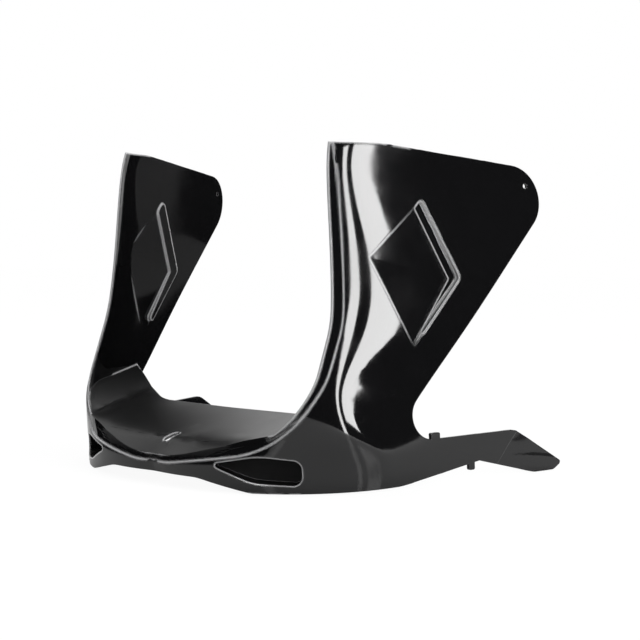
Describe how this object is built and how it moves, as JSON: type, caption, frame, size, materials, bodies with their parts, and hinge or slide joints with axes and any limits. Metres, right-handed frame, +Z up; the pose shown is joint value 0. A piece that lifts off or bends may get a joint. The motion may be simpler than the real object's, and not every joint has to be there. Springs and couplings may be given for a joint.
{
  "type": "scooter front panel",
  "caption": "Gloss black moulded leg-shield panel with swept wings joined by a wheel-arch bridge, air intakes in the lower lobes and rear tails with turned-down tongues.",
  "frame": {"origin": "middle of the panel's footprint, on the ground under the lobes and tongues", "axes": "+X to the panel's left-hand wing as the rider sits, which is the one nearer in the picture, -Y to the front of the scooter, +Z up"},
  "size_m": [0.5214, 0.3864, 0.359],
  "materials": {
    "black_plastic": "high-gloss injection moulding"
  },
  "bodies": {
    "root": {"front_panel": "black_plastic"}
  },
  "joints": []
}
